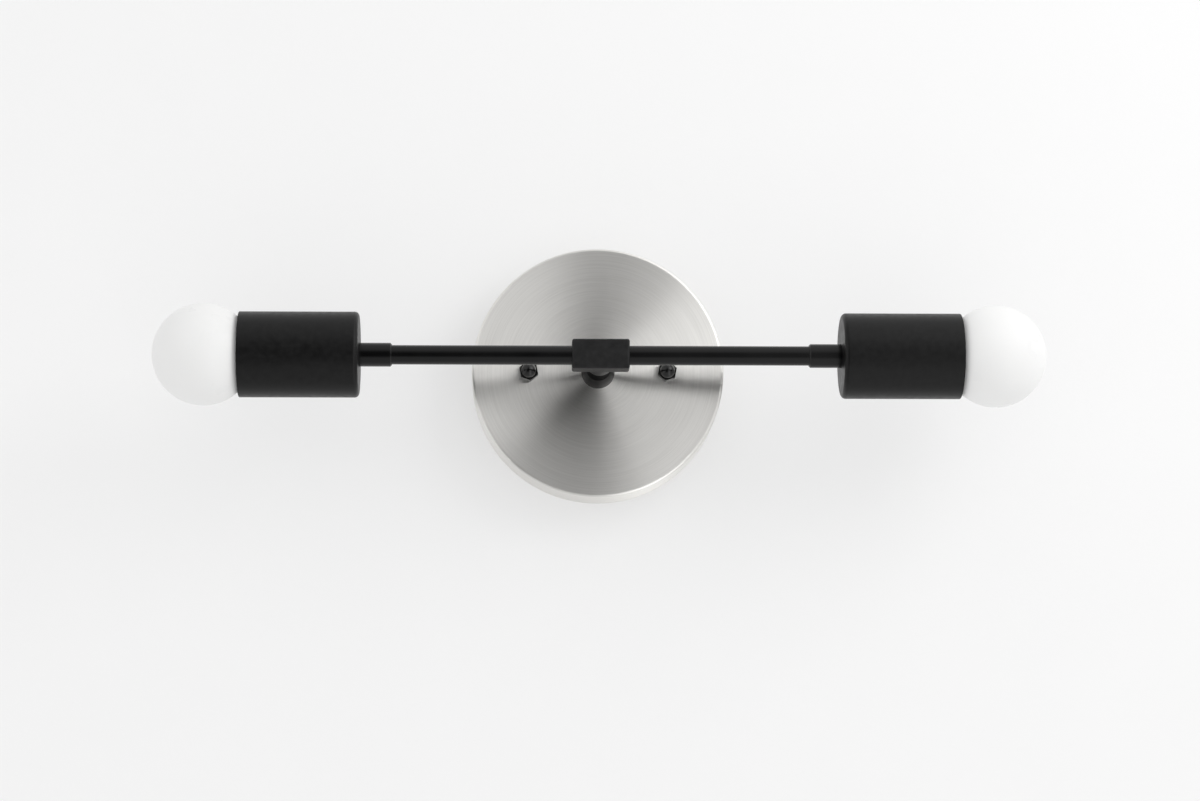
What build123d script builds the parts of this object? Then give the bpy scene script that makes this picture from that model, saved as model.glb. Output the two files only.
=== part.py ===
from build123d import *

import math
import os

# Two-lamp vanity light: a round canopy, a tee block on a short stem, two tube arms and two lamp cups.
# Millimetres, +Z up. The origin is the centre of the canopy's rear rim, on the plane of the wall.
# The wall lies on the +Y side, the light stands out towards -Y, and its arms run along X.

# Canopy, a spun metal pan
canopy_d = 127.0
canopy_depth = 25.4
canopy_wall = 1.0
canopy_edge_r = 1.4

# Fixing strap behind the canopy, with slots for the outlet box and tapped holes for the studs
strap_length = 108.0
strap_width = 19.0
strap_thickness = 2.0
strap_corner_r = 4.0
strap_centre_d = 10.6
box_slot_spacing = 88.9
box_slot_width = 4.6
box_slot_length = 8.0

# Studs, their locknuts and the cap nuts that hold the canopy
stud_spacing = 69.85
stud_d = 4.1
stud_reach = 5.8
stud_nut_flats = 8.7
stud_nut_thickness = 3.2
cap_nut_flats = 8.73
cap_nut_hex_height = 3.6
cap_nut_dome_r = 3.8
cap_nut_shoulder = 0.8
cap_nut_turns = (-20.0, 19.0)
canopy_stud_room = 0.4

# Ground screw, lug and wire
ground_screw_x = 18.0
ground_screw_d = 4.7
ground_head_r = 4.5
ground_head_height = 2.5
ground_wire_d = 1.6
ground_wire_reach = 7.0
ground_wire_bend = 3.0
lug_thickness = 0.8
lug_ring_r = 8.2
lug_tab_width = 5.0
lug_tab_length = 7.0

# Threaded pipe that carries the wires and holds stem, arms and sockets together
pipe_d = 9.8
pipe_bore_d = 6.4
pipe_nut_flats = 14.3
pipe_nut_thickness = 3.0
pipe_washer_r = 9.5
pipe_washer_thickness = 1.0
pipe_end_past_nut = 3.0

# Collar, couplers and tee block
collar_length = 9.6
collar_base_r = 8.45
collar_top_r = 6.0
collar_bulge = 0.45
coupler_d = 11.7
coupler_length = 15.9
stem_coupler_length = 19.0
coupler_web = 1.6
coupler_chamfer = 0.7
boss_length = 13.0
boss_d = 13.8
block_width = 28.2
block_height = 14.7
block_depth = 12.0
block_edge_r = 1.1
block_socket_depth = 6.3

# Arm tubes
tube_d = 9.5
tube_wall = 1.2
arm_visible_length = 88.0

# Lamp cups
cup_d = 42.0
cup_wall = 1.2
cup_end_r = 2.2
cup_rim_r = 0.3
cup_rim_room = 1.85

# Lamp sockets
bracket_stand_off = 2.3
bracket_thickness = 1.5
bracket_width = 11.0
bracket_screw_d = 3.0
bracket_screw_depth = 7.0
bracket_head_r = 2.7
bracket_head_height = 1.8
socket_room = 1.8
socket_cavity_depth = 8.0
socket_floor = 3.5
socket_cavity_wall = 5.5
shell_room = 0.43
shell_flange_thickness = 0.5
shell_flange_hole_r = 8.0
shell_flange_step = 0.15
shell_rivet_r = 1.2
shell_rivet_z = -9.5
contact_plate_r = 5.0
contact_plate_thickness = 0.6
contact_button_r = 2.8
contact_height = 3.1
contact_edge_r = 0.7
contact_rivet_r = 2.4

# Medium screw thread of bulb and socket, seven turns to the inch
thread_pitch = 25.4 / 7
thread_depth = 0.42
bulb_thread_r = 12.6
sheet_thickness = 0.4
thread_gap = 0.35
thread_steps = 8
bulb_turns = 4
turns_below_bulb = 3
shell_turns_short = 0.25

# Bulbs
globe_d = 50.0
glass_wall = 0.8
neck_r = 11.5
neck_blend_r = 5.0
neck_length = 1.5
neck_in_base = 7.0
base_floor_turn = 0.25
base_floor_hole_r = 9.9
base_bead_height = 0.8
base_rim_height = 3.2
base_rim_step = 0.45
insulator_r = 10.8
insulator_top_r = 5.2
insulator_spigot_r = 9.0
insulator_spigot = 1.2
tip_r = 4.6
tip_height = 2.1
tip_edge_r = 1.4
stem_r = 3.5
stem_flare = 1.0
stem_into_globe = 13.0
filament_d = 0.8
filament_foot = 2.0
filament_upright = 4.0
filament_span = 9.0
filament_rise = 12.0
filament_crown = 4.0
filament_bend = 2.5

# Wires inside the arms and stem, and their nuts inside the canopy
wire_d = 2.0
wire_offset = 1.3
wire_block_bend = 4.0
wire_canopy_bend = 5.0
wire_turn_from_wall = 11.0
wire_socket_bend = 3.9
wire_cavity_step = 4.0
wire_nut_mouth_r = 6.5
wire_nut_end_r = 4.6
wire_nut_length = 22.0
wire_nut_from_centre = 14.0
wire_nut_cavity_r = 4.2
wire_nut_cavity_depth = 12.0

# Clearances
thread_room = 0.05
pass_room = 0.2
moving_gap = 0.3
bulb_running_gap = 0.1

# Places along the stem, measured out from the wall
canopy_inside = canopy_depth - canopy_wall
collar_end = canopy_depth + collar_length
stem_coupler_end = collar_end + stem_coupler_length
block_back = stem_coupler_end + boss_length
bar_out = block_back + block_depth / 2
pipe_in_coupler = (coupler_length - coupler_web) / 2
pipe_in_stem_coupler = (stem_coupler_length - coupler_web) / 2
lug_front = canopy_inside - pipe_washer_thickness
pipe_nut_front = lug_front - lug_thickness
stem_pipe_end = pipe_nut_front - pipe_nut_thickness - pipe_end_past_nut
stem_pipe_top = collar_end + pipe_in_stem_coupler

# Places along each arm, measured out from the middle of the tee block
tube_start = block_width / 2 - block_socket_depth
coupler_start = block_width / 2 + arm_visible_length
tube_end = coupler_start + pipe_in_coupler
cup_back = coupler_start + coupler_length
cup_inside = cup_back + cup_wall
bracket_back = cup_inside + pipe_nut_thickness + bracket_stand_off
socket_back = bracket_back + bracket_thickness
floor_back = socket_back + socket_cavity_depth
floor_top = floor_back + socket_floor
shell_start = floor_top + shell_flange_thickness
shell_turns = turns_below_bulb + bulb_turns - shell_turns_short
contact_top = floor_top + contact_height
tip_start = contact_top + moving_gap
base_start = shell_start + turns_below_bulb * thread_pitch
base_thread_end = base_start + bulb_turns * thread_pitch
base_rim_start = base_thread_end + base_bead_height
base_end = base_rim_start + base_rim_height
neck_end = base_end + neck_length

# Radii that follow from the sizes above
canopy_r = canopy_d / 2
pipe_r = pipe_d / 2
pipe_bore_r = pipe_bore_d / 2
tapped_r = pipe_r + thread_room
tube_r = tube_d / 2
tube_bore_r = tube_r - tube_wall
cup_inner_r = cup_d / 2 - cup_wall
socket_r = cup_inner_r - socket_room
socket_cavity_r = socket_r - socket_cavity_wall
shell_inner_r = bulb_thread_r + thread_gap
shell_outer_r = shell_inner_r + sheet_thickness
shell_max_r = shell_outer_r + thread_depth
socket_bore_r = shell_max_r + shell_room
globe_r = globe_d / 2
base_rim_r = bulb_thread_r + base_rim_step

# The blend circle touches the neck and the globe, which sets how far out the globe's centre lies
globe_out = neck_end + math.sqrt((globe_r + neck_blend_r) ** 2 - (neck_r + neck_blend_r) ** 2)
# The cup ends where its mouth still clears the globe all round
cup_mouth = globe_out - math.sqrt(globe_r ** 2 - (cup_inner_r - cup_rim_room) ** 2)

parts = {}


def turned(*points):
    """Solid of revolution about X from a closed outline of (place along X, radius) points."""
    return revolve(make_face(Polyline(*points, close=True)), Axis.X)


def rod(start, end, radius):
    return turned((start, 0), (end, 0), (end, radius), (start, radius))


def pipe(start, end, outer_r, inner_r):
    return turned((start, inner_r), (end, inner_r), (end, outer_r), (start, outer_r))


def hex_prism(start, end, flats, turn=0.0):
    """Hexagon along X, with two corners on the Y axis until it is turned."""
    outline = RegularPolygon(flats / 2, 6, major_radius=False, rotation=turn)
    return extrude(Plane.YZ.offset(start) * outline, end - start)


def hex_nut(start, end, flats, bore_r):
    return hex_prism(start, end, flats) - rod(start, end, bore_r)


def round_edges(shape, axis, place, radius):
    """Fillet the circular edges that lie in one plane across an axis."""
    edges = shape.edges().filter_by(GeomType.CIRCLE).filter_by_position(axis, place, place)
    return fillet(edges, radius)


def outer_edge(shape, place):
    """The largest circle in the plane that crosses X at this place."""
    edges = shape.edges().filter_by(GeomType.CIRCLE).filter_by_position(Axis.X, place, place)
    return edges.sort_by(SortBy.RADIUS)[-1]


def on_stem(shape):
    """Turn a shape that runs out along X so that it runs out from the wall, along -Y."""
    return Rot(0, 0, -90) * shape


def on_arm(shape, side):
    """Place a shape that runs out along X on the right arm (side 1) or the left arm (side -1)."""
    return Pos(0, -bar_out, 0) * (Rot(0, 0, 90 - 90 * side) * shape)


def wire(points, bends, diameter):
    """Round wire along straight runs joined by tangent arcs."""
    path = FilletPolyline(*points, radius=bends)
    section = Plane(path @ 0, z_dir=path % 0) * Circle(diameter / 2)
    return sweep(section, path)


def knuckle_rod(start, turns, radius):
    """Rod along X whose centre winds round a small right-hand helix: a rounded screw thread."""
    rings = []
    for step in range(round(turns * thread_steps) + 1):
        turn = 2 * math.pi * step / thread_steps
        along = start + step * thread_pitch / thread_steps
        centre = (along, thread_depth * math.cos(turn), thread_depth * math.sin(turn))
        rings.append(Plane(centre, x_dir=(0, 1, 0), z_dir=(1, 0, 0)) * Circle(radius))
    return loft(rings, ruled=True)


def knuckle_tube(start, turns, outer_r, inner_r):
    return knuckle_rod(start, turns, outer_r) - knuckle_rod(start, turns, inner_r)


def make_crossbar():
    plan = RectangleRounded(strap_length, strap_width, strap_corner_r)
    plan -= Circle(strap_centre_d / 2)
    for side in (-1, 1):
        plan -= Pos(side * stud_spacing / 2, 0) * Circle(stud_d / 2 + thread_room)
        slot = SlotOverall(box_slot_length, box_slot_width)
        plan -= Pos(side * box_slot_spacing / 2, 0) * slot
    plan -= Pos(ground_screw_x, 0) * Circle(ground_screw_d / 2 + thread_room)
    return extrude(Plane.XZ * plan, strap_thickness)


def make_canopy():
    pan = rod(0, canopy_depth, canopy_r)
    pan = fillet(outer_edge(pan, canopy_depth), canopy_edge_r)
    pan -= rod(0, canopy_inside, canopy_r - canopy_wall)
    pan -= rod(canopy_inside, canopy_depth, pipe_r + pass_room)
    stud_hole = rod(canopy_inside, canopy_depth, stud_d / 2 + canopy_stud_room)
    for side in (-1, 1):
        pan -= Pos(0, side * stud_spacing / 2, 0) * stud_hole
    return on_stem(pan)


def both_studs(shape):
    """One copy of a shape on each stud, as separate solids of one node."""
    copies = [on_stem(Pos(0, side * stud_spacing / 2, 0) * shape) for side in (-1, 1)]
    return Compound(children=copies)


def make_cap_nuts():
    nuts = []
    hex_end = canopy_depth + cap_nut_hex_height
    dome_start = hex_end + cap_nut_shoulder
    corner_r = cap_nut_flats / math.sqrt(3)
    chamfer_height = (corner_r - cap_nut_flats / 2) / 2
    chamfered = turned(
        (canopy_depth, 0),
        (canopy_depth, corner_r),
        (hex_end - chamfer_height, corner_r),
        (hex_end, cap_nut_flats / 2),
        (hex_end, 0),
    )
    dome = rod(canopy_depth, dome_start, cap_nut_dome_r)
    dome += Pos(dome_start, 0, 0) * Sphere(cap_nut_dome_r)
    stud_hole = rod(canopy_depth - cap_nut_dome_r, canopy_depth + stud_reach, stud_d / 2 + thread_room)
    for side, turn in zip((-1, 1), cap_nut_turns):
        base = hex_prism(canopy_depth, hex_end, cap_nut_flats, turn) & chamfered
        above_canopy = dome & rod(canopy_depth, dome_start + 2 * cap_nut_dome_r, corner_r)
        nut = base + above_canopy - stud_hole
        nuts.append(on_stem(Pos(0, side * stud_spacing / 2, 0) * nut))
    return Compound(children=nuts)


def make_ground_screw():
    head_start = strap_thickness + ground_wire_d + 2 * thread_room
    screw = rod(0, head_start, ground_screw_d / 2)
    screw += rod(head_start, head_start + ground_head_height, ground_head_r)
    return Pos(ground_screw_x, 0, 0) * on_stem(screw)


def make_ground_lug():
    ring = Circle(lug_ring_r)
    tab = Pos(lug_ring_r + lug_tab_length / 2, 0) * Rectangle(lug_tab_length + lug_ring_r, lug_tab_width)
    plan = ring + tab - Circle(tapped_r)
    return extrude(Plane.XZ.offset(pipe_nut_front) * plan, lug_thickness)


def make_ground_wire():
    lug_side = pipe_nut_front - ground_wire_d / 2
    strap_side = strap_thickness + thread_room + ground_wire_d / 2
    start_x = pipe_nut_flats / math.sqrt(3) + ground_wire_d
    screw_side = ground_screw_x + ground_screw_d / 2 + thread_room
    bend_x = screw_side + ground_wire_reach
    points = [
        (start_x, -lug_side, 0),
        (bend_x, -lug_side, 0),
        (bend_x, -strap_side, 0),
        (screw_side, -strap_side, 0),
    ]
    return wire(points, ground_wire_bend, ground_wire_d)


def make_collar():
    middle = (collar_base_r + collar_top_r) / 2 + collar_bulge
    outline = Line((0, tapped_r), (0, collar_base_r))
    outline += ThreePointArc((0, collar_base_r), (collar_length / 2, middle), (collar_length, collar_top_r))
    outline += Polyline((collar_length, collar_top_r), (collar_length, tapped_r), (0, tapped_r))
    collar = revolve(make_face(outline), Axis.X)
    return on_stem(Pos(canopy_depth, 0, 0) * collar)


def make_coupler(start, length, first_r, second_r):
    """Round coupler with a bore from each end and a thin web between them."""
    end = start + length
    bore_depth = (length - coupler_web) / 2
    body = rod(start, end, coupler_d / 2)
    body = chamfer(outer_edge(body, start), coupler_chamfer)
    body -= rod(start, end, tube_bore_r)
    body -= rod(start, start + bore_depth, first_r)
    body -= rod(end - bore_depth, end, second_r)
    return body


def make_tee_block():
    block = Pos(0, -bar_out, 0) * Box(block_width, block_depth, block_height)
    block = fillet(block.edges(), block_edge_r)
    block += on_stem(rod(stem_coupler_end, bar_out, boss_d / 2))
    block -= on_stem(rod(stem_coupler_end, stem_coupler_end + pipe_in_coupler, tapped_r))
    block -= on_stem(rod(stem_coupler_end, bar_out, tube_bore_r))
    block -= on_arm(rod(-block_width, block_width, tube_bore_r), 1)
    for side in (-1, 1):
        block -= on_arm(rod(tube_start, block_width, tube_r + thread_room), side)
    return block


def make_cup():
    cup = rod(cup_back, cup_mouth, cup_d / 2)
    cup = fillet(outer_edge(cup, cup_back), cup_end_r)
    hollow = rod(cup_inside, cup_mouth, cup_inner_r)
    hollow = fillet(outer_edge(hollow, cup_inside), cup_end_r - cup_wall)
    cup -= hollow
    cup -= rod(cup_back, cup_inside, pipe_r + pass_room)
    return round_edges(cup, Axis.X, cup_mouth, cup_rim_r)


def make_socket_body(screw_z):
    body = rod(socket_back, neck_end, socket_r)
    body -= rod(socket_back, floor_back, socket_cavity_r)
    body -= rod(floor_top, neck_end, socket_bore_r)
    body -= rod(floor_back, floor_top, contact_rivet_r + thread_room)
    body -= Pos(0, 0, shell_rivet_z) * rod(floor_back, floor_top, shell_rivet_r + thread_room)
    hole = rod(socket_back, socket_back + bracket_screw_depth, bracket_screw_d / 2 + thread_room)
    for side in (-1, 1):
        body -= Pos(0, 0, side * screw_z) * hole
    return body


def make_bracket(screw_z):
    strip = Pos(bracket_back + bracket_thickness / 2, 0, 0)
    strip *= Box(bracket_thickness, bracket_width, 2 * socket_r)
    bracket = strip & rod(bracket_back, socket_back, socket_r)
    bracket -= rod(bracket_back, socket_back, tapped_r)
    for side in (-1, 1):
        hole = rod(bracket_back, socket_back, bracket_screw_d / 2 + thread_room)
        bracket -= Pos(0, 0, side * screw_z) * hole
    return bracket


def make_bracket_screws(screw_z):
    screw = rod(bracket_back - bracket_head_height, bracket_back, bracket_head_r)
    screw += rod(bracket_back, socket_back + bracket_screw_depth, bracket_screw_d / 2)
    return [Pos(0, 0, side * screw_z) * screw for side in (-1, 1)]


def make_screw_shell():
    shell = knuckle_tube(shell_start, shell_turns, shell_outer_r, shell_inner_r)
    shell += pipe(floor_top, shell_start, shell_max_r + shell_flange_step, shell_flange_hole_r)
    shell += Pos(0, 0, shell_rivet_z) * rod(floor_back, shell_start, shell_rivet_r)
    return shell


def make_centre_contact():
    contact = rod(floor_back, floor_top, contact_rivet_r)
    contact += rod(floor_top, floor_top + contact_plate_thickness, contact_plate_r)
    contact += rod(floor_top, contact_top, contact_button_r)
    return fillet(outer_edge(contact, contact_top), contact_edge_r)


def globe_outline(inset):
    """Neck, blend and globe as one line from the neck's open end to the outer pole."""
    neck = neck_r - inset
    ball = globe_r - inset
    blend = neck_blend_r + inset
    blend_x = neck_end - globe_out
    touch = ball / (ball + blend)
    ball_touch = (blend_x * touch, (neck + blend) * touch)
    blend_turn = (math.atan2(-(neck + blend), -blend_x) - math.pi / 2) / 2
    blend_mid = (blend_x + blend * math.cos(blend_turn), neck + blend + blend * math.sin(blend_turn))
    pole_turn = math.atan2(ball_touch[1], ball_touch[0]) / 2
    outline = Line((base_end - neck_in_base - globe_out, neck), (blend_x, neck))
    outline += ThreePointArc((blend_x, neck), blend_mid, ball_touch)
    ball_mid = (ball * math.cos(pole_turn), ball * math.sin(pole_turn))
    outline += ThreePointArc(ball_touch, ball_mid, (ball, 0))
    return outline


def make_globe():
    neck_start = base_end - neck_in_base - globe_out
    solids = []
    for inset in (0, glass_wall):
        axis_line = Polyline((globe_r - inset, 0), (neck_start, 0), (neck_start, neck_r - inset))
        solids.append(revolve(make_face(globe_outline(inset) + axis_line), Axis.X))
    return Pos(globe_out, 0, 0) * (solids[0] - solids[1])


def make_bulb_base():
    base = knuckle_tube(base_start, bulb_turns, bulb_thread_r, bulb_thread_r - sheet_thickness)
    floor_r = bulb_thread_r - sheet_thickness / 2
    base += knuckle_tube(base_start, base_floor_turn, floor_r, base_floor_hole_r)
    base += pipe(base_thread_end, base_rim_start, base_rim_r, neck_r + thread_room)
    base += pipe(base_rim_start, base_end, bulb_thread_r, neck_r + thread_room)
    return base


def make_insulator():
    tip_end = tip_start + tip_height
    shoulder = base_start - bulb_running_gap
    edge = shoulder - sheet_thickness
    return turned(
        (tip_end, 0),
        (tip_end, insulator_top_r),
        (edge, insulator_r),
        (shoulder, insulator_r),
        (shoulder, insulator_spigot_r),
        (shoulder + insulator_spigot, insulator_spigot_r),
        (shoulder + insulator_spigot, 0),
    )


def make_tip():
    tip = rod(tip_start, tip_start + tip_height, tip_r)
    return fillet(outer_edge(tip, tip_start), tip_edge_r)


def make_bulb_stem():
    flare_start = base_end - neck_in_base
    stem = rod(flare_start, globe_out - stem_into_globe, stem_r)
    stem += rod(flare_start, flare_start + stem_flare, neck_r - glass_wall - thread_room)
    return stem


def make_filament():
    foot = globe_out - stem_into_globe
    points = [
        (foot, 0, -filament_foot),
        (foot + filament_upright, 0, -filament_foot),
        (foot + filament_rise, 0, -filament_span),
        (foot + filament_rise + filament_crown, 0, 0),
        (foot + filament_rise, 0, filament_span),
        (foot + filament_upright, 0, filament_foot),
        (foot, 0, filament_foot),
    ]
    return wire(points, filament_bend, filament_d)


def make_lamp_wire(side, height, socket_points, bends):
    """Wire from a lamp socket along its arm and stem, then up or down into its wire nut."""
    nut_floor = wire_nut_from_centre + wire_nut_cavity_depth
    direction = math.copysign(1, height)
    points = [(side * out, -bar_out, z) for out, z in socket_points]
    points.append((side * wire_offset, -bar_out, height))
    points.append((side * wire_offset, -wire_turn_from_wall, height))
    points.append((side * wire_offset, -wire_turn_from_wall, direction * nut_floor))
    return wire(points, bends + [wire_block_bend, wire_canopy_bend], wire_d)


def make_wire_nut(direction):
    end = wire_nut_from_centre + wire_nut_length
    nut = turned(
        (wire_nut_from_centre, 0),
        (wire_nut_from_centre, wire_nut_mouth_r),
        (end, wire_nut_end_r),
        (end, 0),
    )
    nut -= rod(wire_nut_from_centre, wire_nut_from_centre + wire_nut_cavity_depth, wire_nut_cavity_r)
    return Pos(0, -wire_turn_from_wall, 0) * (Rot(0, -90 * direction, 0) * nut)


# Wall side: strap, studs, canopy and what holds it
parts["crossbar"] = make_crossbar()
parts["crossbar_studs"] = both_studs(rod(0, canopy_depth + stud_reach, stud_d / 2))
stud_nut_end = strap_thickness + stud_nut_thickness
parts["stud_locknuts"] = both_studs(
    hex_nut(strap_thickness, stud_nut_end, stud_nut_flats, stud_d / 2 + thread_room)
)
parts["canopy"] = make_canopy()
parts["cap_nuts"] = make_cap_nuts()
parts["ground_screw"] = make_ground_screw()

# Stem: pipe, washer, lug, locknut, collar, coupler and tee block
parts["stem_nipple"] = on_stem(pipe(stem_pipe_end, stem_pipe_top, pipe_r, pipe_bore_r))
parts["nipple_washer"] = on_stem(pipe(lug_front, canopy_inside, pipe_washer_r, tapped_r))
parts["ground_lug"] = make_ground_lug()
parts["nipple_locknut"] = on_stem(
    hex_nut(pipe_nut_front - pipe_nut_thickness, pipe_nut_front, pipe_nut_flats, tapped_r)
)
parts["stem_collar"] = make_collar()
parts["stem_coupler"] = on_stem(make_coupler(collar_end, stem_coupler_length, tapped_r, tapped_r))
parts["tee_nipple"] = on_stem(
    pipe(stem_coupler_end - pipe_in_stem_coupler, stem_coupler_end + pipe_in_coupler, pipe_r, pipe_bore_r)
)
parts["tee_block"] = make_tee_block()

# The two arms carry the same pieces, the left ones turned half a turn about the vertical
screw_z = (socket_r + socket_cavity_r) / 2
arm_pieces = {
    "arm_tube": pipe(tube_start, tube_end, tube_r, tube_bore_r),
    "arm_coupler": make_coupler(coupler_start, coupler_length, tube_r + thread_room, tapped_r),
    "cup_nipple": pipe(cup_back - pipe_in_coupler, socket_back, pipe_r, pipe_bore_r),
    "cup_locknut": hex_nut(cup_inside, cup_inside + pipe_nut_thickness, pipe_nut_flats, tapped_r),
    "cup": make_cup(),
    "socket_bracket": make_bracket(screw_z),
    "socket_body": make_socket_body(screw_z),
    "screw_shell": make_screw_shell(),
    "centre_contact": make_centre_contact(),
    "bulb_globe": make_globe(),
    "bulb_base": make_bulb_base(),
    "bulb_insulator": make_insulator(),
    "bulb_tip": make_tip(),
    "bulb_stem": make_bulb_stem(),
    "bulb_filament": make_filament(),
}
for side_name, side in (("left", -1), ("right", 1)):
    for piece_name, piece in arm_pieces.items():
        parts[f"{side_name}_{piece_name}"] = on_arm(piece, side)
    screws = [on_arm(screw, side) for screw in make_bracket_screws(screw_z)]
    parts[f"{side_name}_bracket_screws"] = Compound(children=screws)
    straight = [(floor_back, wire_offset)]
    parts[f"{side_name}_black_wire"] = make_lamp_wire(side, wire_offset, straight, [])
    cavity_x = floor_back - wire_cavity_step
    stepped = [(floor_back, shell_rivet_z), (cavity_x, shell_rivet_z), (cavity_x, -wire_offset)]
    bends = [wire_socket_bend, wire_socket_bend]
    parts[f"{side_name}_white_wire"] = make_lamp_wire(side, -wire_offset, stepped, bends)

# Wire nuts and the ground wire inside the canopy
parts["black_wire_nut"] = make_wire_nut(1)
parts["white_wire_nut"] = make_wire_nut(-1)
parts["ground_wire"] = make_ground_wire()

os.makedirs("parts", exist_ok=True)
for node, shape in parts.items():
    export_step(shape, f"parts/{node}.step")
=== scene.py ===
import math

import bmesh
import bpy
from mathutils import Matrix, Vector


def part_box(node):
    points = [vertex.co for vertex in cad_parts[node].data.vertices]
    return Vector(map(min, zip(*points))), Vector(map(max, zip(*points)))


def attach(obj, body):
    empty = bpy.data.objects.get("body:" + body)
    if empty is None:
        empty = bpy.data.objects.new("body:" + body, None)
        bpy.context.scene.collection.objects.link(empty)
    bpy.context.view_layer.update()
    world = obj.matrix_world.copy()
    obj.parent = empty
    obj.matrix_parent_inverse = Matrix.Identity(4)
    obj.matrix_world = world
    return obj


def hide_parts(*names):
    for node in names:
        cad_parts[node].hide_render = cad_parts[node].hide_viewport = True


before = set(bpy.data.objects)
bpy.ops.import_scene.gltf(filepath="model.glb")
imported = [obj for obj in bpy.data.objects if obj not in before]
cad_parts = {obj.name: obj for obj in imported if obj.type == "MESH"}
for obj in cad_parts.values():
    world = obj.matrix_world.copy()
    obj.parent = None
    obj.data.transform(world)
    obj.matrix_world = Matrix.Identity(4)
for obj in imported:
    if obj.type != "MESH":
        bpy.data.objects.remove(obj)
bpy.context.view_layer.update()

# Fixing strap: a flat steel strip, stamped and zinc plated, screwed to the outlet box.
# The plating is dull grey with cloudy patches.
# Locknuts, washers, pipes and brackets have the same finish.
grain = bpy.data.node_groups.new("surface_grain", "ShaderNodeTree")
for socket in ("Patch Scale", "Grain Scale"):
    grain.interface.new_socket(socket, in_out="INPUT", socket_type="NodeSocketFloat")
grain.interface.new_socket("Place", in_out="INPUT", socket_type="NodeSocketVector")
for socket in ("Patch", "Grain"):
    grain.interface.new_socket(socket, in_out="OUTPUT", socket_type="NodeSocketFloat")
grain_in = grain.nodes.new("NodeGroupInput")
grain_out = grain.nodes.new("NodeGroupOutput")
for socket, detail in (("Patch", 4.0), ("Grain", 2.0)):
    cloud = grain.nodes.new("ShaderNodeTexNoise")
    cloud.inputs["Detail"].default_value = detail
    grain.links.new(grain_in.outputs["Place"], cloud.inputs["Vector"])
    grain.links.new(grain_in.outputs[f"{socket} Scale"], cloud.inputs["Scale"])
    grain.links.new(cloud.outputs["Fac"], grain_out.inputs[socket])


def spread(tree, value, low, high):
    """A mask stretched from its usual middle range to the range from low to high."""
    middle_low, middle_high = 0.3, 0.7
    ranged = tree.nodes.new("ShaderNodeMapRange")
    ranged.inputs["From Min"].default_value = middle_low
    ranged.inputs["From Max"].default_value = middle_high
    ranged.inputs["To Min"].default_value = low
    ranged.inputs["To Max"].default_value = high
    tree.links.new(value, ranged.inputs["Value"])
    return ranged.outputs["Result"]


def raise_relief(tree, shader, height, depth):
    """Relief of a depth in metres under the shader."""
    relief = tree.nodes.new("ShaderNodeBump")
    relief.inputs["Distance"].default_value = depth
    tree.links.new(height, relief.inputs["Height"])
    tree.links.new(relief.outputs["Normal"], shader.inputs["Normal"])


def two_tones(tree, shader, mask, first, second):
    """Base colour that runs between two tones with a mask."""
    tones = tree.nodes.new("ShaderNodeMix")
    tones.data_type = "RGBA"
    tones.inputs["A"].default_value = (*first, 1)
    tones.inputs["B"].default_value = (*second, 1)
    tree.links.new(mask, tones.inputs["Factor"])
    tree.links.new(tones.outputs["Result"], shader.inputs["Base Color"])


def grained_finish(name, tones, rough, patch_size, grain_size, depth, metal=0.0):
    """Material with cloudy patches in its colour and gloss, and a fine grain in its relief."""
    material = bpy.data.materials.new(name)
    material.use_nodes = True
    tree = material.node_tree
    shader = tree.nodes["Principled BSDF"]
    shader.inputs["Metallic"].default_value = metal
    place = tree.nodes.new("ShaderNodeTexCoord")
    surface = tree.nodes.new("ShaderNodeGroup")
    surface.node_tree = grain
    surface.inputs["Patch Scale"].default_value = 1 / patch_size
    surface.inputs["Grain Scale"].default_value = 1 / grain_size
    tree.links.new(place.outputs["Object"], surface.inputs["Place"])
    two_tones(tree, shader, spread(tree, surface.outputs["Patch"], 0.0, 1.0), *tones)
    tree.links.new(spread(tree, surface.outputs["Patch"], *rough), shader.inputs["Roughness"])
    raise_relief(tree, shader, surface.outputs["Grain"], depth)
    return material, shader


def dress(material, *names):
    """Give a finish to nodes of the frame."""
    for name in names:
        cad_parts[name].material_slots[0].material = material


sides = ("left", "right")
zinc_plate, _ = grained_finish(
    "zinc_plate",
    tones=((0.57, 0.58, 0.59), (0.63, 0.64, 0.65)),
    rough=(0.32, 0.40),
    patch_size=0.004,
    grain_size=0.0004,
    depth=0.000004,
    metal=1.0,
)
dress(zinc_plate, "crossbar", "stud_locknuts")
dress(zinc_plate, "nipple_washer", "nipple_locknut", "tee_nipple")

# Studs: two headless machine screws of zinc-plated steel, turned into the strap and locked by nuts.
# The thread is one ridge that winds round the rod, and both ends are sawn square.
crisp_angle = math.radians(25)


def all_of(mesh):
    """Every corner, edge and face of a mesh."""
    return mesh.verts[:] + mesh.edges[:] + mesh.faces[:]


def wind_thread(mesh, crest_r, pitch, start, end):
    """Screw thread along the stem: a zigzag line that winds outwards by one pitch in a turn."""
    steps = 24
    depth_in_pitches = 0.54
    spare_rows = 7
    depth = depth_in_pitches * pitch
    rows = 2 * math.ceil((end - start) / pitch) + spare_rows
    line = []
    for row in range(rows):
        radius = crest_r - depth * (row % 2)
        line.append(mesh.verts.new((radius, -start + (2 - row / 2) * pitch, 0)))
    zigzag = [mesh.edges.new(pair) for pair in zip(line, line[1:])]
    bmesh.ops.spin(
        mesh,
        geom=line + zigzag,
        axis=(0, -1, 0),
        dvec=(0, -pitch / steps, 0),
        angle=math.tau,
        steps=steps,
        use_merge=False,
    )
    bmesh.ops.remove_doubles(mesh, verts=mesh.verts[:], dist=pitch / 100)
    for place, outwards in ((start, 1), (end, -1)):
        bmesh.ops.bisect_plane(
            mesh,
            geom=all_of(mesh),
            plane_co=(0, -place, 0),
            plane_no=(0, outwards, 0),
            clear_outer=True,
        )


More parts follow.
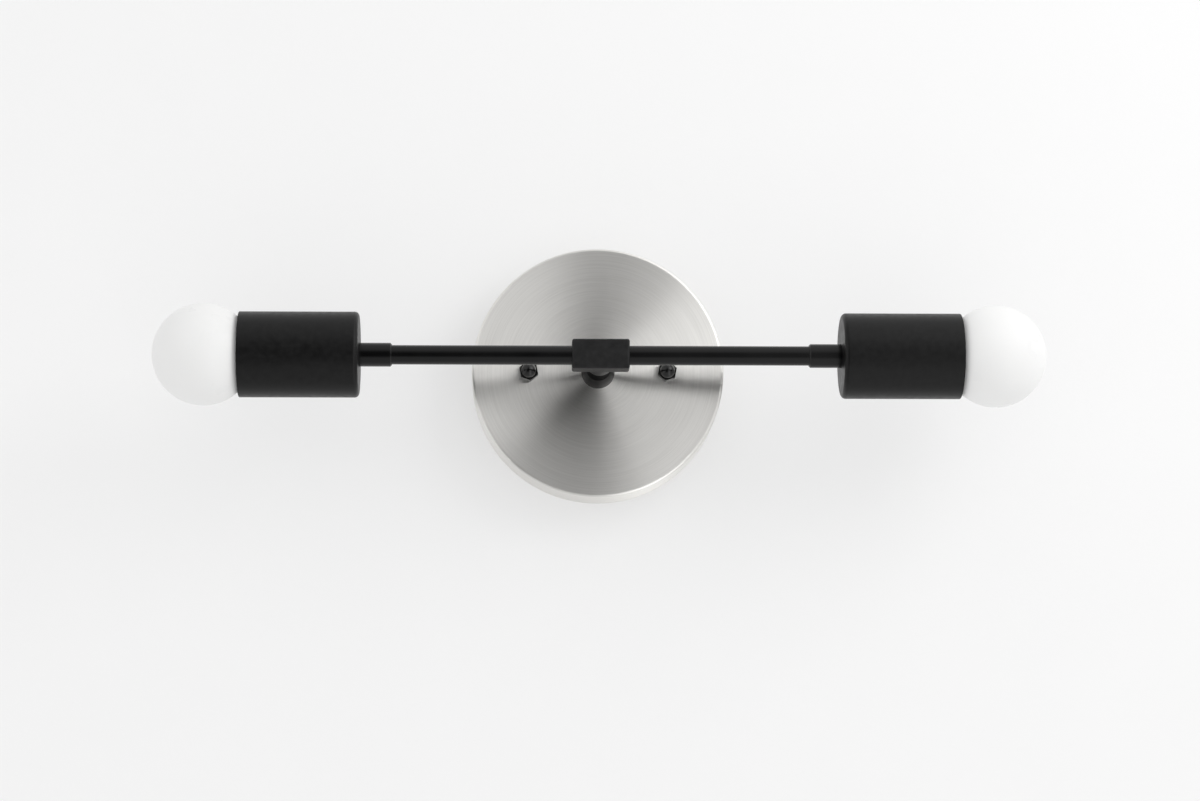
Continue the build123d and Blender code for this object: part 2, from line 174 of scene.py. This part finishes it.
def open_edges(mesh):
    """Edges with a face on one side only."""
    return [edge for edge in mesh.edges if edge.is_boundary]


def fit_piece(name, mesh, material, node):
    """Closed mesh as a piece of the fixture that stands for a node of the frame."""
    bmesh.ops.recalc_face_normals(mesh, faces=mesh.faces[:])
    for face in mesh.faces:
        face.smooth = True
    for edge in mesh.edges:
        edge.smooth = edge.calc_face_angle(0.0) < crisp_angle
    data = bpy.data.meshes.new(name)
    mesh.to_mesh(data)
    mesh.free()
    data.materials.append(material)
    piece = bpy.data.objects.new(name, data)
    bpy.context.scene.collection.objects.link(piece)
    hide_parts(node)
    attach(piece, "fixture")


stud_pitch = 0.000794
low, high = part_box("crossbar_studs")
stud_r = (high.z - low.z) / 2
studs = bmesh.new()
wind_thread(studs, stud_r, stud_pitch, -high.y, -low.y)
bmesh.ops.holes_fill(studs, edges=open_edges(studs))
bmesh.ops.translate(studs, verts=studs.verts[:], vec=(low.x + stud_r, 0, 0))
second = bmesh.ops.duplicate(studs, geom=all_of(studs))["geom"]
second_verts = [part for part in second if isinstance(part, bmesh.types.BMVert)]
bmesh.ops.translate(studs, verts=second_verts, vec=(high.x - low.x - 2 * stud_r, 0, 0))
fit_piece("threaded_studs", studs, zinc_plate, "crossbar_studs")

# Stem pipe: a lamp pipe with a thread along its whole length and a bore for the wires.
# It holds the canopy between its locknut and the collar, and it is zinc plated too.
pipe_pitch = 0.00094
pipe_bore_r = 0.0032
bore_steps = 48
low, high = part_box("stem_nipple")
stem_pipe = bmesh.new()
wind_thread(stem_pipe, (high.z - low.z) / 2, pipe_pitch, -high.y, -low.y)
bore_line = [stem_pipe.verts.new((pipe_bore_r, place, 0)) for place in (high.y, low.y)]
bore_edge = stem_pipe.edges.new(bore_line)
bmesh.ops.spin(
    stem_pipe,
    geom=bore_line + [bore_edge],
    axis=(0, -1, 0),
    angle=math.tau,
    steps=bore_steps,
    use_merge=True,
)
middle = (low.y + high.y) / 2
for end_way in (-1, 1):
    rims = open_edges(stem_pipe)
    end_rims = [edge for edge in rims if (edge.verts[0].co.y - middle) * end_way > 0]
    bmesh.ops.bridge_loops(stem_pipe, edges=end_rims)
fit_piece("threaded_stem_pipe", stem_pipe, zinc_plate, "stem_nipple")

# Ground screw, lug and wire: a green-dyed steel screw with a slotted hexagon head on a flange,
# a brass ring lug and bare soft copper. They join the metal of the light to the strap.
green_dye, _ = grained_finish(
    "green_dye",
    tones=((0.02, 0.20, 0.06), (0.05, 0.30, 0.10)),
    rough=(0.25, 0.40),
    patch_size=0.003,
    grain_size=0.0003,
    depth=0.000003,
    metal=0.7,
)
screw_r = 0.00235
screw_pitch = 0.000794
flange_height = 0.0008
hex_r = 0.0038
slot_width = 0.0009
slot_depth = 0.0009
head_height = 0.0025
low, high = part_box("ground_screw")
flange_r = (high.z - low.z) / 2
head_back = low.y + head_height
face_front = Matrix.Rotation(math.radians(90), 4, "X")
screw = bmesh.new()
wind_thread(screw, screw_r, screw_pitch, -high.y, -head_back)
bmesh.ops.holes_fill(screw, edges=open_edges(screw))


def add_disc(flats, radius, back, front):
    """Round or six-sided slice of the head between two places along the stem."""
    place = Matrix.Translation((0, (back + front) / 2, 0)) @ face_front
    return bmesh.ops.create_cone(
        screw,
        cap_ends=True,
        cap_tris=False,
        segments=flats,
        radius1=radius,
        radius2=radius,
        depth=back - front,
        matrix=place,
    )["verts"]


add_disc(48, flange_r, head_back, head_back - flange_height)
slot_floor = low.y + slot_depth
add_disc(6, hex_r, head_back - flange_height, slot_floor)
for half in (-1, 1):
    corners = add_disc(6, hex_r, slot_floor, low.y)
    edges = {edge for corner in corners for edge in corner.link_edges}
    faces = {face for corner in corners for face in corner.link_faces}
    bmesh.ops.bisect_plane(
        screw,
        geom=corners + list(edges) + list(faces),
        plane_co=(0, 0, half * slot_width / 2),
        plane_no=(0, 0, -half),
        clear_outer=True,
    )
    bmesh.ops.holes_fill(screw, edges=open_edges(screw))
bmesh.ops.translate(screw, verts=screw.verts[:], vec=((low.x + high.x) / 2, 0, 0))
fit_piece("slotted_ground_screw", screw, green_dye, "ground_screw")
brass, _ = grained_finish(
    "brass",
    tones=((0.70, 0.50, 0.22), (0.80, 0.62, 0.31)),
    rough=(0.22, 0.38),
    patch_size=0.004,
    grain_size=0.0003,
    depth=0.000003,
    metal=1.0,
)
dress(brass, "ground_lug")
copper, _ = grained_finish(
    "copper",
    tones=((0.72, 0.35, 0.22), (0.84, 0.46, 0.31)),
    rough=(0.20, 0.36),
    patch_size=0.005,
    grain_size=0.0003,
    depth=0.000003,
    metal=1.0,
)
dress(copper, "ground_wire")

# Canopy: a pan spun from sheet steel, nickel plated and brushed while it turned.
# The brush left fine arcs round the middle, so its shine fans out from the middle.
arcs = bpy.data.node_groups.new("turned_lines", "ShaderNodeTree")
arcs.interface.new_socket("Place", in_out="INPUT", socket_type="NodeSocketVector")
for socket in ("Line Scale", "Arc Scale"):
    arcs.interface.new_socket(socket, in_out="INPUT", socket_type="NodeSocketFloat")
arcs.interface.new_socket("Line", in_out="OUTPUT", socket_type="NodeSocketFloat")
arcs_in = arcs.nodes.new("NodeGroupInput")
arcs_out = arcs.nodes.new("NodeGroupOutput")


def vector_step(tree, operation, first, second=None):
    """One vector sum: a link or a constant on each side."""
    node = tree.nodes.new("ShaderNodeVectorMath")
    node.operation = operation
    for socket, value in zip(node.inputs, (first, second)):
        if isinstance(value, tuple):
            socket.default_value = value
        elif value is not None:
            tree.links.new(value, socket)
    return node


def number_step(tree, operation, first, second):
    """One sum of two linked numbers."""
    node = tree.nodes.new("ShaderNodeMath")
    node.operation = operation
    tree.links.new(first, node.inputs[0])
    tree.links.new(second, node.inputs[1])
    return node.outputs["Value"]


across = vector_step(arcs, "MULTIPLY", arcs_in.outputs["Place"], (1, 0, 1))
direction = vector_step(arcs, "NORMALIZE", across.outputs["Vector"])
turning = arcs.nodes.new("ShaderNodeVectorMath")
turning.operation = "SCALE"
arcs.links.new(direction.outputs["Vector"], turning.inputs["Vector"])
arcs.links.new(arcs_in.outputs["Arc Scale"], turning.inputs["Scale"])
axial = arcs.nodes.new("ShaderNodeSeparateXYZ")
arcs.links.new(arcs_in.outputs["Place"], axial.inputs["Vector"])
reach = vector_step(arcs, "LENGTH", across.outputs["Vector"])
along = number_step(arcs, "SUBTRACT", reach.outputs["Value"], axial.outputs["Y"])
line_place = number_step(arcs, "MULTIPLY", along, arcs_in.outputs["Line Scale"])
spot = arcs.nodes.new("ShaderNodeSeparateXYZ")
arcs.links.new(turning.outputs["Vector"], spot.inputs["Vector"])
wound = arcs.nodes.new("ShaderNodeCombineXYZ")
arcs.links.new(spot.outputs["X"], wound.inputs["X"])
arcs.links.new(line_place, wound.inputs["Y"])
arcs.links.new(spot.outputs["Z"], wound.inputs["Z"])
strokes = arcs.nodes.new("ShaderNodeTexNoise")
strokes.inputs["Scale"].default_value = 1.0
strokes.inputs["Detail"].default_value = 3.0
arcs.links.new(wound.outputs["Vector"], strokes.inputs["Vector"])
arcs.links.new(strokes.outputs["Fac"], arcs_out.inputs["Line"])

fine_lines, fine_arcs = 6500.0, 7.0
wide_lines, wide_arcs = 1800.0, 1.6
brush_depth = 0.000025
brushed_nickel = bpy.data.materials.new("brushed_nickel")
brushed_nickel.use_nodes = True
tree = brushed_nickel.node_tree
nickel = tree.nodes["Principled BSDF"]
nickel.inputs["Metallic"].default_value = 1.0
nickel.inputs["Anisotropic"].default_value = 1.0
place = tree.nodes.new("ShaderNodeTexCoord")
brush_marks = []
for line_scale, arc_scale in ((fine_lines, fine_arcs), (wide_lines, wide_arcs)):
    brush = tree.nodes.new("ShaderNodeGroup")
    brush.node_tree = arcs
    brush.inputs["Line Scale"].default_value = line_scale
    brush.inputs["Arc Scale"].default_value = arc_scale
    tree.links.new(place.outputs["Object"], brush.inputs["Place"])
    brush_marks.append(brush.outputs["Line"])
fine_marks, wide_marks = brush_marks
wide_mask = spread(tree, wide_marks, 0, 1)
two_tones(tree, nickel, wide_mask, (0.76, 0.75, 0.725), (0.83, 0.82, 0.795))
tree.links.new(spread(tree, fine_marks, 0.31, 0.34), nickel.inputs["Roughness"])
raise_relief(tree, nickel, fine_marks, brush_depth)
facing = tree.nodes.new("ShaderNodeNewGeometry")
round_middle = vector_step(tree, "CROSS_PRODUCT", (0, 1, 0), place.outputs["Object"])
fan = vector_step(tree, "CROSS_PRODUCT", round_middle.outputs["Vector"], facing.outputs["Normal"])
fan_way = vector_step(tree, "NORMALIZE", fan.outputs["Vector"])
tree.links.new(fan_way.outputs["Vector"], nickel.inputs["Tangent"])
dress(brushed_nickel, "canopy")

# Cap nuts: small domed steel nuts on the studs, with a wet-looking black enamel.
# They clamp the canopy against the strap.
black_enamel, shader = grained_finish(
    "black_enamel",
    tones=((0.002, 0.002, 0.002), (0.003, 0.003, 0.003)),
    rough=(0.16, 0.22),
    patch_size=0.004,
    grain_size=0.0008,
    depth=0.000004,
)
shader.inputs["Specular IOR Level"].default_value = 0.35
dress(black_enamel, "cap_nuts")

# Stem coupler: turned steel screwed on the threaded pipe; it pulls the collar against the canopy.
# Painted shade: its black coat has almost no reflection, so it renders as dark as the shadow under
# the block.
dull_black_painted_shade, shader = grained_finish(
    "dull_black_painted_shade",
    tones=((0.0015, 0.0015, 0.0016), (0.0025, 0.0025, 0.0026)),
    rough=(0.48, 0.58),
    patch_size=0.012,
    grain_size=0.0005,
    depth=0.000004,
)
# Almost no reflection: painted shade for the shadow under the block.
shader.inputs["Specular IOR Level"].default_value = 0.01
dress(dull_black_painted_shade, "stem_coupler")

# Arm tubes and couplers: turned steel with a smooth black lacquer.
# The coat has a half gloss and a faint orange peel.
black_satin, shader = grained_finish(
    "black_satin",
    tones=((0.0015, 0.0015, 0.0016), (0.0025, 0.0025, 0.0026)),
    rough=(0.15, 0.21),
    patch_size=0.012,
    grain_size=0.0005,
    depth=0.000004,
)
shader.inputs["Specular IOR Level"].default_value = 0.25
for side in sides:
    dress(black_satin, f"{side}_arm_tube", f"{side}_arm_coupler")

# Collar, tee block and lamp cups: the same coat, but duller, with a fine sanded grain.
# The collar is turned, the block is a drilled bar with a paler coat,
# and the cups are deep-drawn cans.
black_matte, shader = grained_finish(
    "black_matte",
    tones=((0.0014, 0.0014, 0.0015), (0.0044, 0.0044, 0.0045)),
    rough=(0.34, 0.44),
    patch_size=0.003,
    grain_size=0.0005,
    depth=0.000025,
)
shader.inputs["Specular IOR Level"].default_value = 0.20
dress(black_matte, "stem_collar")
for side in sides:
    dress(black_matte, f"{side}_cup")
black_sanded, shader = grained_finish(
    "black_sanded",
    tones=((0.010, 0.010, 0.0102), (0.017, 0.017, 0.0173)),
    rough=(0.36, 0.43),
    patch_size=0.003,
    grain_size=0.0004,
    depth=0.00002,
)
shader.inputs["Specular IOR Level"].default_value = 0.16
dress(black_sanded, "tee_block")

# Lamp sockets: a glazed porcelain body on a zinc-plated bracket, with its pipe, locknut and screws.
# A thin aluminium screw shell and a brass contact carry the current.
porcelain, _ = grained_finish(
    "porcelain",
    tones=((0.86, 0.85, 0.82), (0.90, 0.89, 0.86)),
    rough=(0.10, 0.18),
    patch_size=0.009,
    grain_size=0.0011,
    depth=0.000008,
)
shell_metal, _ = grained_finish(
    "shell_metal",
    tones=((0.72, 0.72, 0.72), (0.82, 0.82, 0.82)),
    rough=(0.24, 0.36),
    patch_size=0.005,
    grain_size=0.0003,
    depth=0.000003,
    metal=1.0,
)
for side in sides:
    dress(zinc_plate, f"{side}_cup_nipple", f"{side}_cup_locknut")
    dress(zinc_plate, f"{side}_socket_bracket", f"{side}_bracket_screws")
    dress(porcelain, f"{side}_socket_body")
    dress(shell_metal, f"{side}_screw_shell")
    dress(brass, f"{side}_centre_contact")

# Bulbs: opal glass globes on aluminium screw bases, with a black glass insulator and a solder tip.
# Inside are a clear glass stem and a bent tungsten filament.
opal_glass, shader = grained_finish(
    "opal_glass",
    tones=((0.87, 0.87, 0.865), (0.885, 0.885, 0.88)),
    rough=(0.26, 0.34),
    patch_size=0.020,
    grain_size=0.004,
    depth=0.00002,
)
shader.inputs["Specular IOR Level"].default_value = 0.1
black_glass, _ = grained_finish(
    "black_glass",
    tones=((0.010, 0.010, 0.016), (0.020, 0.020, 0.028)),
    rough=(0.06, 0.14),
    patch_size=0.004,
    grain_size=0.0008,
    depth=0.000004,
)
solder, _ = grained_finish(
    "solder",
    tones=((0.52, 0.52, 0.54), (0.66, 0.66, 0.68)),
    rough=(0.25, 0.45),
    patch_size=0.002,
    grain_size=0.0005,
    depth=0.00002,
    metal=1.0,
)
tungsten, _ = grained_finish(
    "tungsten",
    tones=((0.24, 0.24, 0.25), (0.33, 0.33, 0.34)),
    rough=(0.35, 0.50),
    patch_size=0.002,
    grain_size=0.0002,
    depth=0.000004,
    metal=1.0,
)
stem_glass, shader = grained_finish(
    "stem_glass",
    tones=((0.93, 0.95, 0.95), (0.96, 0.97, 0.97)),
    rough=(0.02, 0.06),
    patch_size=0.006,
    grain_size=0.002,
    depth=0.000006,
)
shader.inputs["Transmission Weight"].default_value = 1.0
for side in sides:
    dress(opal_glass, f"{side}_bulb_globe")
    dress(shell_metal, f"{side}_bulb_base")
    dress(black_glass, f"{side}_bulb_insulator")
    dress(solder, f"{side}_bulb_tip")
    dress(stem_glass, f"{side}_bulb_stem")
    dress(tungsten, f"{side}_bulb_filament")

# Wires and wire nuts: soft plastic insulation, one black and one white wire for each lamp.
# The wires meet inside the canopy in two moulded orange twist-on nuts, with flutes for the fingers.
black_sleeve, _ = grained_finish(
    "black_sleeve",
    tones=((0.018, 0.018, 0.019), (0.030, 0.030, 0.031)),
    rough=(0.35, 0.48),
    patch_size=0.006,
    grain_size=0.0005,
    depth=0.000005,
)
white_sleeve, _ = grained_finish(
    "white_sleeve",
    tones=((0.80, 0.80, 0.78), (0.86, 0.86, 0.84)),
    rough=(0.35, 0.48),
    patch_size=0.006,
    grain_size=0.0005,
    depth=0.000005,
)
for side in sides:
    dress(black_sleeve, f"{side}_black_wire")
    dress(white_sleeve, f"{side}_white_wire")
nut_plastic, _ = grained_finish(
    "nut_plastic",
    tones=((0.74, 0.24, 0.03), (0.80, 0.29, 0.05)),
    rough=(0.30, 0.42),
    patch_size=0.005,
    grain_size=0.0006,
    depth=0.000005,
)
nut_cavity_r = 0.0042
nut_cavity_depth = 0.012
nut_end_r = 0.0046
nut_lip = 0.0022
nut_flutes_end = 0.0165
nut_facets = 28
flute_edge = 0.00028
flute_depth = 0.00045
crown_r = 0.0016
for colour, upwards in (("black", 1), ("white", -1)):
    low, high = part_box(f"{colour}_wire_nut")
    mouth_r = (high.x - low.x) / 2
    nut_length = high.z - low.z
    nut = bmesh.new()
    bmesh.ops.create_cone(
        nut,
        cap_ends=True,
        cap_tris=False,
        segments=nut_facets,
        radius1=mouth_r,
        radius2=nut_end_r,
        depth=nut_length,
        matrix=Matrix.Translation((0, 0, nut_length / 2)),
    )
    for ring in (nut_lip, nut_flutes_end):
        bmesh.ops.bisect_plane(
            nut, geom=all_of(nut), plane_co=(0, 0, ring), plane_no=(0, 0, 1)
        )
    flutes = [
        face for face in nut.faces if nut_lip < face.calc_center_median().z < nut_flutes_end
    ]
    bmesh.ops.inset_individual(nut, faces=flutes, thickness=flute_edge, depth=-flute_depth)
    crown = [
        edge for edge in nut.edges if min(v.co.z for v in edge.verts) > nut_length - nut_lip
    ]
    bmesh.ops.bevel(
        nut, geom=crown, offset=crown_r, affect="EDGES", segments=5, profile=0.5, material=-1
    )
    mouth = [face for face in nut.faces if max(v.co.z for v in face.verts) < nut_lip / 2]
    bmesh.ops.inset_region(nut, faces=mouth, thickness=mouth_r - nut_cavity_r)
    deep = bmesh.ops.extrude_face_region(nut, geom=mouth)["geom"]
    bmesh.ops.delete(nut, geom=mouth, context="FACES_ONLY")
    floor = [part for part in deep if isinstance(part, bmesh.types.BMVert)]
    bmesh.ops.translate(nut, verts=floor, vec=(0, 0, nut_cavity_depth))
    if upwards < 0:
        bmesh.ops.rotate(nut, verts=nut.verts[:], matrix=Matrix.Rotation(math.pi, 3, "X"))
    mouth_z = low.z if upwards > 0 else high.z
    bmesh.ops.translate(nut, verts=nut.verts[:], vec=(0, (low.y + high.y) / 2, mouth_z))
    name = f"ribbed_{colour}_wire_nut"
    fit_piece(name, nut, nut_plastic, f"{colour}_wire_nut")

# Wall: a pale painted surface behind the canopy, open where the outlet box is.
# It shows only from the room, so that views from behind see the back of the light.
wall_gap = 0.0002
wall_reach = 3.0
wall_pallor = 0.32
wall_glow = 0.95
box_opening = 0.060
sheet = bmesh.new()
bmesh.ops.create_circle(sheet, cap_ends=False, radius=box_opening, segments=96)
wide = bmesh.ops.extrude_edge_only(sheet, edges=sheet.edges[:])
outer = [v for v in wide["geom"] if isinstance(v, bmesh.types.BMVert)]
bmesh.ops.scale(sheet, verts=outer, vec=(wall_reach / box_opening,) * 3)
bmesh.ops.rotate(sheet, verts=sheet.verts[:], matrix=Matrix.Rotation(math.radians(90), 3, "X"))
bmesh.ops.translate(sheet, verts=sheet.verts[:], vec=(0, wall_gap, 0))
bmesh.ops.recalc_face_normals(sheet, faces=sheet.faces[:])
sheet.faces.ensure_lookup_table()
if sheet.faces[0].normal.y > 0:
    bmesh.ops.reverse_faces(sheet, faces=sheet.faces[:])
wall_mesh = bpy.data.meshes.new("wall")
sheet.to_mesh(wall_mesh)
sheet.free()
wall = bpy.data.objects.new("wall", wall_mesh)
bpy.context.scene.collection.objects.link(wall)
wall_paint, shader = grained_finish(
    "wall_paint",
    tones=((0.915, 0.915, 0.915), (0.925, 0.925, 0.925)),
    rough=(0.80, 0.90),
    patch_size=0.05,
    grain_size=0.0015,
    depth=0.00003,
)
tree = wall_paint.node_tree
rays = tree.nodes.new("ShaderNodeLightPath")
seen = rays.outputs["Is Camera Ray"]
for kind in ("Is Glossy Ray", "Is Transmission Ray"):
    seen = number_step(tree, "MAXIMUM", seen, rays.outputs[kind])
share = tree.nodes.new("ShaderNodeMath")
share.operation = "MULTIPLY"
share.inputs[1].default_value = wall_pallor
tree.links.new(seen, share.inputs[0])
pale = tree.nodes.new("ShaderNodeEmission")
pale.inputs["Color"].default_value = (wall_glow, wall_glow, wall_glow, 1)
faced = tree.nodes.new("ShaderNodeMixShader")
tree.links.new(share.outputs["Value"], faced.inputs["Fac"])
tree.links.new(shader.outputs["BSDF"], faced.inputs[1])
tree.links.new(pale.outputs["Emission"], faced.inputs[2])
behind = tree.nodes.new("ShaderNodeNewGeometry")
clear = tree.nodes.new("ShaderNodeBsdfTransparent")
one_side = tree.nodes.new("ShaderNodeMixShader")
tree.links.new(behind.outputs["Backfacing"], one_side.inputs["Fac"])
tree.links.new(faced.outputs["Shader"], one_side.inputs[1])
tree.links.new(clear.outputs["BSDF"], one_side.inputs[2])
tree.links.new(one_side.outputs["Shader"], tree.nodes["Material Output"].inputs["Surface"])
wall_mesh.materials.append(wall_paint)

# Room: pale light from all round, with a wide window to the upper right.
# Shiny surfaces mirror a bright right side, a paler left side, floor and ceiling, and a dark front.
room_light = 0.885
dark_front = 0.03
window_size = 0.8
window_power = 4.3
window_place = (0.95, -0.75, 0.60)
world = bpy.data.worlds.new("room")
world.use_nodes = True
tree = world.node_tree
room = tree.nodes["Background"]
way = tree.nodes.new("ShaderNodeTexCoord")
mirrored = None
for toward, near, far, brightness in (
    ((-0.94, 0, 0.34), 0.18, 0.66, 1.15),
    ((0, 0, 1), 0.20, 0.85, 1.00),
    ((0, 0, -1), 0.32, 0.75, 0.84),
    ((1, 0, 0), -0.05, 0.44, 1.95),
    ((1, 0, 0), 0.48, 0.72, 0.75),
):
    reach = vector_step(tree, "DOT_PRODUCT", way.outputs["Generated"], toward)
    ramp = tree.nodes.new("ShaderNodeMapRange")
    ramp.interpolation_type = "SMOOTHSTEP"
    ramp.inputs["From Min"].default_value = near
    ramp.inputs["From Max"].default_value = far
    tree.links.new(reach.outputs["Value"], ramp.inputs["Value"])
    blend = tree.nodes.new("ShaderNodeMix")
    blend.inputs["A"].default_value = dark_front
    blend.inputs["B"].default_value = brightness
    tree.links.new(ramp.outputs["Result"], blend.inputs["Factor"])
    if mirrored:
        tree.links.new(mirrored, blend.inputs["A"])
    mirrored = blend.outputs["Result"]
rays = tree.nodes.new("ShaderNodeLightPath")
direct = tree.nodes.new("ShaderNodeMath")
direct.operation = "LESS_THAN"
direct.inputs[1].default_value = 0.5
tree.links.new(rays.outputs["Diffuse Depth"], direct.inputs[0])
level = tree.nodes.new("ShaderNodeMix")
level.inputs["A"].default_value = room_light
shiny = number_step(tree, "MULTIPLY", rays.outputs["Is Glossy Ray"], direct.outputs["Value"])
tree.links.new(shiny, level.inputs["Factor"])
tree.links.new(mirrored, level.inputs["B"])
tree.links.new(level.outputs["Result"], room.inputs["Strength"])
room.inputs["Color"].default_value = (1, 1, 1, 1)
bpy.context.scene.world = world
lamp = bpy.data.lights.new("window", "AREA")
lamp.shape = "SQUARE"
lamp.size = window_size
lamp.energy = window_power
window = bpy.data.objects.new("window", lamp)
window.location = window_place
window.rotation_euler = (-window.location).to_track_quat("-Z", "Y").to_euler()
window.visible_camera = False
bpy.context.scene.collection.objects.link(window)

# Camera: a long lens in front of the light and a little below it, looking up.
# Its place and turn were fitted to the canopy's rims, the nuts, the cups and the bulbs.
sensor = 36.0
lens = 95.345
eye = (-0.04529, -1.60417, -0.27458)
yaw, pitch, roll = 1.680, 9.349, -0.122
eye_data = bpy.data.cameras.new("eye")
eye_data.sensor_width = sensor
eye_data.lens = lens
camera = bpy.data.objects.new("eye", eye_data)
turn = Matrix.Rotation(math.radians(-yaw), 4, "Z")
turn = turn @ Matrix.Rotation(math.radians(90 + pitch), 4, "X")
turn = turn @ Matrix.Rotation(math.radians(roll), 4, "Z")
camera.matrix_world = Matrix.Translation(eye) @ turn
bpy.context.scene.collection.objects.link(camera)
bpy.context.scene.camera = camera
bpy.context.scene.view_settings.view_transform = "Standard"
